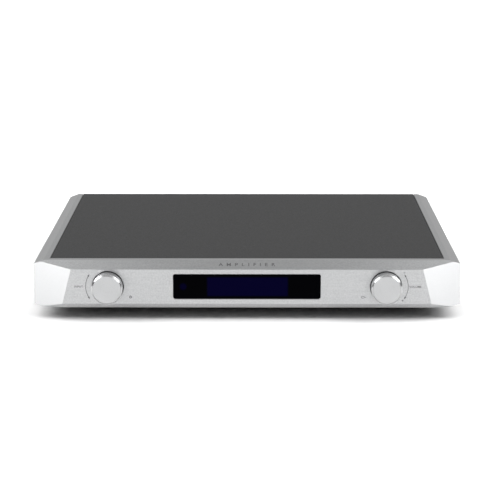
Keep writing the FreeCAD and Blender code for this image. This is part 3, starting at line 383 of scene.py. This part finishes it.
def circuit_board():
    """Green solder mask over faint copper tracks."""
    made = Finish("circuit_board", Roughness=0.35)
    tracks = made.add("ShaderNodeTexBrick")
    made.feed(tracks.inputs["Vector"], made.place)
    tracks.inputs["Scale"].default_value = 160
    tracks.inputs["Mortar Size"].default_value = 0.03
    tracks.inputs["Color1"].default_value = (0.015, 0.12, 0.05, 1)
    tracks.inputs["Color2"].default_value = (0.02, 0.15, 0.065, 1)
    tracks.inputs["Mortar"].default_value = (0.04, 0.24, 0.1, 1)
    made.colour(tracks.outputs["Color"])
    made.bump(tracks.outputs["Fac"], 0.03 * MM)
    return made.material


def transformer_tape():
    """Yellow tape wound through the ring, so that its laps run outward from the ring's upright axis."""
    half_laps_per_radian = 14
    centre = middle("toroidal_transformer")
    made = Finish("tape", Roughness=0.3)
    out = made.axes()
    turn = made.math(
        "ARCTAN2", made.math("SUBTRACT", out[1], centre.y), made.math("SUBTRACT", out[0], centre.x)
    )
    laps = made.math("PINGPONG", made.math("MULTIPLY", turn, half_laps_per_radian), 1.0)
    made.colour(made.mix(made.span(laps, 0.1, 0.6), (0.55, 0.38, 0.05), (0.7, 0.5, 0.1)))
    made.bump(laps, 0.2 * MM)
    return made.material


def ink(name, first, second):
    """Matt printing ink, a little uneven."""
    made = Finish(name, Roughness=0.6)
    made.speckle(first, second, 0.0003)
    return made.material


# ---------------------------------------------------------------- finishes of the CAD nodes


def paint(material, *nodes):
    for name in nodes:
        for part_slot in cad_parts[name].material_slots:
            part_slot.material = material


def paint_case():
    paint(silver_case("silver_front", paint_recess_shade=True), "front_panel")
    paint(silver_case("silver_rails"), *RAILS)
    for node in KNOBS:
        paint(knob_metal(node), node)
    paint(dark_cover(), "top_cover", "bottom_plate")
    paint(rear_paint(), "rear_panel")
    paint(window_acrylic(), "display_window")


def paint_metals():
    zinc = plated("zinc", (0.5, 0.5, 0.51), (0.6, 0.6, 0.6), roughness=0.3)
    paint(zinc, "block_screws", "front_panel_screws", "top_cover_screws", "board_screws")
    paint(zinc, "input_shaft", "volume_shaft", "encoder_nuts", "transformer_clamp_plate", "transformer_bolt")
    paint(plated("milled", (0.55, 0.55, 0.56), (0.64, 0.64, 0.64), roughness=0.35), "corner_blocks")
    black_oxide = plated("black_oxide", (0.05, 0.05, 0.052), (0.09, 0.09, 0.09), roughness=0.4)
    paint(black_oxide, "rear_panel_screws", "bottom_plate_screws", "foot_screws")
    nickel = plated("nickel", (0.6, 0.58, 0.55), (0.7, 0.68, 0.65), roughness=0.22)
    paint(nickel, "inlet_pins", "usb_socket", "board_standoffs")
    gold = plated("gold", (0.8, 0.55, 0.2), (0.88, 0.64, 0.28), roughness=0.22)
    washers = [f"post_washer_{number}" for number in range(1, 5)]
    paint(gold, "rca_shells", "post_studs", *washers)
    paint(plated("heatsink_black", (0.03, 0.03, 0.03), (0.045, 0.045, 0.045), roughness=0.45), "heatsink")
    paint(plated("copper_wire", (0.6, 0.22, 0.08), (0.75, 0.33, 0.14), roughness=0.3), "output_inductors")


def paint_plastics():
    black = moulded("black_plastic", (0.018, 0.018, 0.019), (0.028, 0.028, 0.029))
    paint(black, "mains_inlet", "fuse_drawer", "power_switch_frame", "trigger_jack", "post_bases")
    paint(black, "input_plunger", "volume_plunger", "input_encoder", "volume_encoder", "bridge_rectifier")
    dark, light = (0.012, 0.012, 0.012), (0.02, 0.02, 0.02)
    rubber = moulded("pad_rubber", dark, light, roughness=0.8, grain=0.001, depth=0.08 * MM)
    paint(rubber, "foot_pads")
    paint(socket_plastic(), "rca_insulators")
    others = {
        "power_rocker": moulded("rocker_plastic", (0.012, 0.012, 0.013), (0.018, 0.018, 0.018), 0.25),
        "feet": moulded("foot_plastic", (0.02, 0.02, 0.02), (0.03, 0.03, 0.03), 0.5),
        "display_module": moulded("display_glass", (0.002, 0.002, 0.02), (0.003, 0.003, 0.028), 0.1),
        "infrared_sensor": moulded("sensor_lens", (0.01, 0.006, 0.03), (0.014, 0.008, 0.04), 0.1),
        "reservoir_capacitors": moulded("capacitor_sleeve", (0.01, 0.02, 0.06), (0.014, 0.026, 0.07), 0.25),
        "fuse": moulded("fuse_glass", (0.6, 0.62, 0.62), (0.7, 0.72, 0.72), 0.1),
    }
    for node, material in others.items():
        paint(material, node)


def paint_posts():
    """The positive posts, 1 and 3, are red, and the negative ones are black."""
    red = (0.36, 0.008, 0.01), (0.42, 0.012, 0.014)
    black = (0.012, 0.012, 0.013), (0.018, 0.018, 0.018)
    for number in range(1, 5):
        node = f"post_cap_{number}"
        paint(post_plastic(node, *(red if number % 2 else black)), node)


def paint_nodes():
    paint_case()
    paint_metals()
    paint_plastics()
    paint_posts()
    paint(circuit_board(), "display_board", "power_board", "amplifier_board", "input_board")
    paint(transformer_tape(), "toroidal_transformer")


# ---------------------------------------------------------------- markings

PRINT_THICK = 0.03 * MM
LETTER_SPACING = 1.1
ARC_STEPS = 24
INK = ink("print_ink", (0.08, 0.08, 0.082), (0.12, 0.12, 0.122))
LEGEND = ink("legend_ink", (0.66, 0.66, 0.66), (0.78, 0.78, 0.77))
ETCHED = ink("etched_ink", (0.04, 0.04, 0.042), (0.06, 0.06, 0.062))


def flat_mesh(name, faces, material):
    """Flat faces as one mesh: faces is a list of corner lists, each corner a place in the row frame."""
    mesh = bpy.data.meshes.new(name)
    corners = [corner for face in faces for corner in face]
    indices, start = [], 0
    for face in faces:
        indices.append(list(range(start, start + len(face))))
        start += len(face)
    mesh.from_pydata(corners, [], indices)
    mesh.materials.append(material)
    made = bpy.data.objects.new(name, mesh)
    bpy.context.collection.objects.link(made)
    return made


def on_face(x, z):
    """A place on the front face, as a printed mark sits on it."""
    return Vector((x, FRONT_Y - PRINT_THICK / 2, z))


def arc_faces(x, z, radius, wide, start, end):
    """A band of an arc in the front face, from start to end in degrees."""
    faces = []
    inner, outer = radius - wide / 2, radius + wide / 2
    for step in range(ARC_STEPS):
        first = math.radians(start + (end - start) * step / ARC_STEPS)
        second = math.radians(start + (end - start) * (step + 1) / ARC_STEPS)
        faces.append(
            [
                on_face(x + reach * math.cos(angle), z + reach * math.sin(angle))
                for reach, angle in ((inner, first), (outer, first), (outer, second), (inner, second))
            ]
        )
    return faces


def arrow_faces(x, z, radius, angle, turn):
    """An arrowhead at the end of an arc: turn is 1 to point anticlockwise and -1 clockwise."""
    long, half_wide = 2.7 * MM, 1.0 * MM
    around = math.radians(angle)
    out = Vector((math.cos(around), 0, math.sin(around)))
    along = Vector((-math.sin(around), 0, math.cos(around))) * turn
    centre = on_face(x, z) + out * radius
    tail = centre - along * long / 2
    return [[tail - out * half_wide, tail + out * half_wide, centre + along * long / 2]]


def bar_faces(x, z, wide, tall):
    """An upright rectangle in the front face, about its middle."""
    corners = (-1, -1), (1, -1), (1, 1), (-1, 1)
    return [[on_face(x + over * wide / 2, z + up * tall / 2) for over, up in corners]]


def mark(name, faces):
    """A thin printed shape on the front face."""
    made = flat_mesh(name, faces, INK)
    solid = made.modifiers.new("Thick", "SOLIDIFY")
    solid.thickness = PRINT_THICK
    solid.offset = 0
    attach(made, "chassis")


def words(name, text, place, size, turn, material, spacing=LETTER_SPACING, bold=0.0):
    """Generic lettering, as a thin mesh. turn is its rotation from lying flat, bold thickens its strokes."""
    curve = bpy.data.curves.new(name, "FONT")
    curve.body = text
    curve.size = size
    curve.align_x = "CENTER"
    curve.align_y = "CENTER"
    curve.space_character = spacing
    curve.offset = bold
    curve.extrude = PRINT_THICK / 2
    curve.resolution_u = 3
    holder = bpy.data.objects.new(name + "_curve", curve)
    bpy.context.collection.objects.link(holder)
    holder.location = place
    holder.rotation_euler = turn
    bpy.context.view_layer.update()
    mesh = bpy.data.meshes.new_from_object(holder.evaluated_get(bpy.context.evaluated_depsgraph_get()))
    mesh.transform(holder.matrix_world)
    bpy.data.objects.remove(holder)
    mesh.materials.clear()
    mesh.materials.append(material)
    made = bpy.data.objects.new(name, mesh)
    bpy.context.collection.objects.link(made)
    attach(made, "chassis")


def control_marks(node, side, label):
    """An arc with two arrowheads beside a control, and its label. side is -1 for left and 1 for right."""
    upright = (math.pi / 2, 0, 0)
    reach, line, half_sweep, label_out = 22.2 * MM, 0.6 * MM, 32, 29.4 * MM
    centre = middle(node)
    outward = 180 if side < 0 else 0
    name = node.split("_")[0]
    faces = arc_faces(centre.x, centre.z, reach, line, outward - half_sweep, outward + half_sweep)
    faces += arrow_faces(centre.x, centre.z, reach, outward + half_sweep, 1)
    faces += arrow_faces(centre.x, centre.z, reach, outward - half_sweep, -1)
    mark(f"{name}_arc", faces)
    place = on_face(centre.x + side * label_out, centre.z)
    words(f"{name}_label", label, place, size=2.9 * MM, turn=upright, material=INK, bold=0.06 * MM)


def volume_signs():
    """A plus and a minus near the ends of the volume arc."""
    centre = middle("volume_knob")
    long, line = 2.0 * MM, 0.6 * MM
    plus_x, plus_z = centre.x + 16.8 * MM, centre.z - 14.2 * MM
    minus_x, minus_z = centre.x + 18.1 * MM, centre.z + 14.6 * MM
    mark("plus_sign", bar_faces(plus_x, plus_z, long, line) + bar_faces(plus_x, plus_z, line, long))
    mark("minus_sign", bar_faces(minus_x, minus_z, long, line))


def power_symbol():
    """A ring open at its top, with an upright stroke in the gap."""
    centre = middle("input_knob")
    x, z = centre.x + 22.8 * MM, centre.z - 10.7 * MM
    radius, line, half_gap = 1.1 * MM, 0.75 * MM, 35
    stroke_up, stroke_wide, stroke_tall = 0.9 * MM, 0.65 * MM, 1.6 * MM
    faces = arc_faces(x, z, radius, line, 90 + half_gap, 450 - half_gap)
    mark("power_symbol", faces + bar_faces(x, z + stroke_up, stroke_wide, stroke_tall))


def mute_symbol():
    """A flattened ring with a short tail."""
    centre = middle("volume_knob")
    x, z = centre.x - 23.2 * MM, centre.z - 10.7 * MM
    steps, wide, tall, line = 28, 1.5 * MM, 0.7 * MM, 0.5 * MM
    tail_gap, tail_long = 1.2 * MM, 1.4 * MM
    ring = []
    for step in range(steps):
        first, second = (2 * math.pi * place / steps for place in (step, step + 1))
        corners = (0, first), (line, first), (line, second), (0, second)
        ring.append(
            [
                on_face(x + (wide + more) * math.cos(angle), z + (tall + more) * math.sin(angle))
                for more, angle in corners
            ]
        )
    mark("mute_symbol", ring + bar_faces(x + wide + tail_gap, z, tail_long, line))


def front_marks():
    """Everything printed on the front face."""
    control_marks("input_knob", -1, "INPUT")
    control_marks("volume_knob", 1, "VOLUME")
    volume_signs()
    power_symbol()
    mute_symbol()


def bevel_words():
    """A generic description of the object on the front bevel."""
    bevel_deep, bevel_drop = 12.0 * MM, 7.0 * MM
    slope = math.atan2(bevel_drop, bevel_deep)
    up = Vector((0, bevel_deep, bevel_drop)).normalized()
    out = Vector((0, -up.z, up.y))
    place = Vector((0, FRONT_Y + bevel_deep / 2, ROOF_Z - bevel_drop / 2)) + out * PRINT_THICK / 2
    letters = {"size": 6.2 * MM, "spacing": 2.15, "bold": 0.15 * MM}
    words("bevel_words", "AMPLIFIER", place, turn=(slope, 0, 0), material=ETCHED, **letters)


def post_legends():
    """Text and place, in mm, of the lettering over the loudspeaker posts."""
    over_posts = 47.2
    legends = [("SPEAKERS", (across("post_cap_1") + across("post_cap_4")) / 2, 53.0)]
    pairs = ("RIGHT", "post_cap_1", "post_cap_2"), ("LEFT", "post_cap_3", "post_cap_4")
    for channel, plus, minus in pairs:
        legends.append((channel, (across(plus) + across(minus)) / 2, over_posts))
        legends.append(("+", across(plus), over_posts))
        legends.append(("-", across(minus), over_posts))
    return legends


def rear_legends():
    """White lettering beside each socket on the rear panel, to be read from behind. Places are in mm."""
    upright = (math.pi / 2, 0, math.pi)
    over_phonos, between_columns = 51.2, 180.5
    beside_inlet = across("mains_inlet") - 29
    legends = [
        ("LINE 1", 188.5, over_phonos),
        ("LINE 2", 171, over_phonos),
        ("PRE OUT", 152, over_phonos),
        ("L", between_columns, 43.5),
        ("R", between_columns, 26.5),
        ("TRIGGER", across("trigger_jack"), 50.4),
        ("DIGITAL", across("trigger_jack"), 36.0),
        ("USB", across("usb_socket"), 43.6),
        *post_legends(),
        ("POWER", across("power_switch_frame"), 51.0),
        ("MAINS", beside_inlet, 41.0),
        ("FUSE", beside_inlet, 24.5),
    ]
    for number, (text, x, z) in enumerate(legends, 1):
        place = Vector((x * MM, PANEL_Y + PRINT_THICK / 2, z * MM))
        name = f"rear_legend_{number}"
        words(name, text, place, size=2.6 * MM, turn=upright, material=LEGEND, bold=0.02 * MM)


# ---------------------------------------------------------------- stage, light and camera

# Each ramp of the studio dome: its axis, where it starts and ends, and its strength at both.
DOME = ("Z", 0.3, 0.85, 0.08, 0.57), ("Y", 0.4, 0.9, 0.0, 0.52)


def stage():
    """A white floor, which doesn't hide the underside from a view below it."""
    half = 4.0
    corners = [(-half, -half, 0), (half, -half, 0), (half, half, 0), (-half, half, 0)]
    mesh = bpy.data.meshes.new("floor")
    mesh.from_pydata(corners, [], [(0, 1, 2, 3)])
    floor = bpy.data.objects.new("floor", mesh)
    bpy.context.collection.objects.link(floor)
    made = Finish("floor_white", Base_Color=(0.92, 0.92, 0.92, 1), Roughness=0.9, Specular_IOR_Level=0.1)
    one_sided = made.add("ShaderNodeMixShader")
    made.feed(one_sided.inputs[0], made.add("ShaderNodeNewGeometry").outputs["Backfacing"])
    made.feed(one_sided.inputs[1], made.shader.outputs[0])
    made.feed(one_sided.inputs[2], made.add("ShaderNodeBsdfTransparent").outputs[0])
    made.feed(made.tree.nodes["Material Output"].inputs["Surface"], one_sided.outputs[0])
    mesh.materials.append(made.material)
    return floor


def spare(light, *pieces):
    """Keeps a light off some pieces, and on all others."""
    spared = bpy.data.collections.new(f"{light.name}_spared")
    for piece in pieces:
        spared.objects.link(piece)
    for entry in spared.collection_objects:
        entry.light_linking.link_state = "EXCLUDE"
    light.light_linking.receiver_collection = spared


def sun(name, azimuth, elevation, spread, strength):
    """A very soft light from a far-off direction: azimuth 0 is in front and 90 is to the right."""
    light = bpy.data.lights.new(name, "SUN")
    light.energy = strength
    light.angle = math.radians(spread)
    made = bpy.data.objects.new(name, light)
    bpy.context.collection.objects.link(made)
    around, up = math.radians(azimuth), math.radians(elevation)
    towards = Vector((math.sin(around) * math.cos(up), -math.cos(around) * math.cos(up), math.sin(up)))
    made.rotation_euler = (-towards).to_track_quat("-Z", "Y").to_euler()
    return made


def lamp(name, place, target, wide, tall, watts):
    """A soft box at a place, facing a target."""
    light = bpy.data.lights.new(name, "AREA")
    light.shape = "RECTANGLE"
    light.size = wide
    light.size_y = tall
    light.energy = watts
    made = bpy.data.objects.new(name, light)
    bpy.context.collection.objects.link(made)
    made.location = place
    made.rotation_euler = (Vector(target) - Vector(place)).to_track_quat("-Z", "Y").to_euler()
    return made


def sky(tree):
    """The studio dome, white where it is seen past the floor."""
    place = tree.nodes.new("ShaderNodeTexCoord").outputs["Generated"]
    out = tree.nodes.new("ShaderNodeSeparateXYZ")
    tree.links.new(out.inputs[0], place)
    total = tree.nodes.new("ShaderNodeMath")
    for socket, (axis, *numbers) in zip(total.inputs, DOME):
        ramp = tree.nodes.new("ShaderNodeMapRange")
        ramp.interpolation_type = "SMOOTHSTEP"
        tree.links.new(ramp.inputs["Value"], out.outputs[axis])
        for ramp_socket, number in zip(RAMP_SOCKETS, numbers):
            ramp.inputs[ramp_socket].default_value = number
        tree.links.new(socket, ramp.outputs["Result"])
    seen = tree.nodes.new("ShaderNodeLightPath").outputs["Is Camera Ray"]
    shown = tree.nodes.new("ShaderNodeMath")
    shown.operation = "MAXIMUM"
    tree.links.new(shown.inputs[0], total.outputs[0])
    tree.links.new(shown.inputs[1], seen)
    tree.links.new(tree.nodes["Background"].inputs["Color"], shown.outputs[0])


def lights(floor):
    """A dim dome, suns from above and both sides, boxes overhead, and low ones for the front and facets.

    The sun above would burn out the silver's bevels, and the low boxes would glare on the floor.
    """
    world = bpy.data.worlds.new("studio")
    bpy.context.scene.world = world
    world.use_nodes = True
    sky(world.node_tree)
    silver = [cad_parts[node] for node in ("front_panel", *RAILS, *KNOBS)]
    spare(sun("top_sun", azimuth=0, elevation=90, spread=60, strength=1.0), *silver)
    low_boxes = [lamp("front_card", (0, -3.0, 0.45), (0, 0, 0.05), wide=3.0, tall=0.8, watts=9)]
    for side, strength in ((-1, 1.7), (1, 1.85)):
        sun(f"side_sun_{side + 1}", side * 90, elevation=40, spread=40, strength=strength)
        place, target = (side * 0.75, 0.3, 1.2), (side * 0.5, 0, 0)
        lamp(f"top_box_{side + 1}", place, target, wide=0.8, tall=0.8, watts=2.2)
        place, target = (side * 1.15, -1.75, 0.2), (side * 0.2, -0.15, 0.03)
        low_boxes.append(lamp(f"facet_box_{side + 1}", place, target, wide=0.8, tall=0.3, watts=10.2))
    for box in low_boxes:
        spare(box, floor)


def camera():
    """A long lens in front of the case and a little above it."""
    right, ahead, above = 8.45 * MM, 1540.1 * MM, 388.6 * MM
    tilt_down, turn_left = 13.7, 0.198
    data = bpy.data.cameras.new("camera")
    data.sensor_width = 36
    data.lens = 114.36
    data.clip_end = 50
    made = bpy.data.objects.new("camera", data)
    bpy.context.collection.objects.link(made)
    made.location = (right, FRONT_Y - ahead, ROOF_Z + above)
    made.rotation_euler = (math.radians(90 - tilt_down), 0, math.radians(turn_left))
    bpy.context.scene.camera = made


bpy.context.scene.view_settings.view_transform = "Standard"
camera()
lights(stage())
paint_nodes()
front_marks()
bevel_words()
rear_legends()
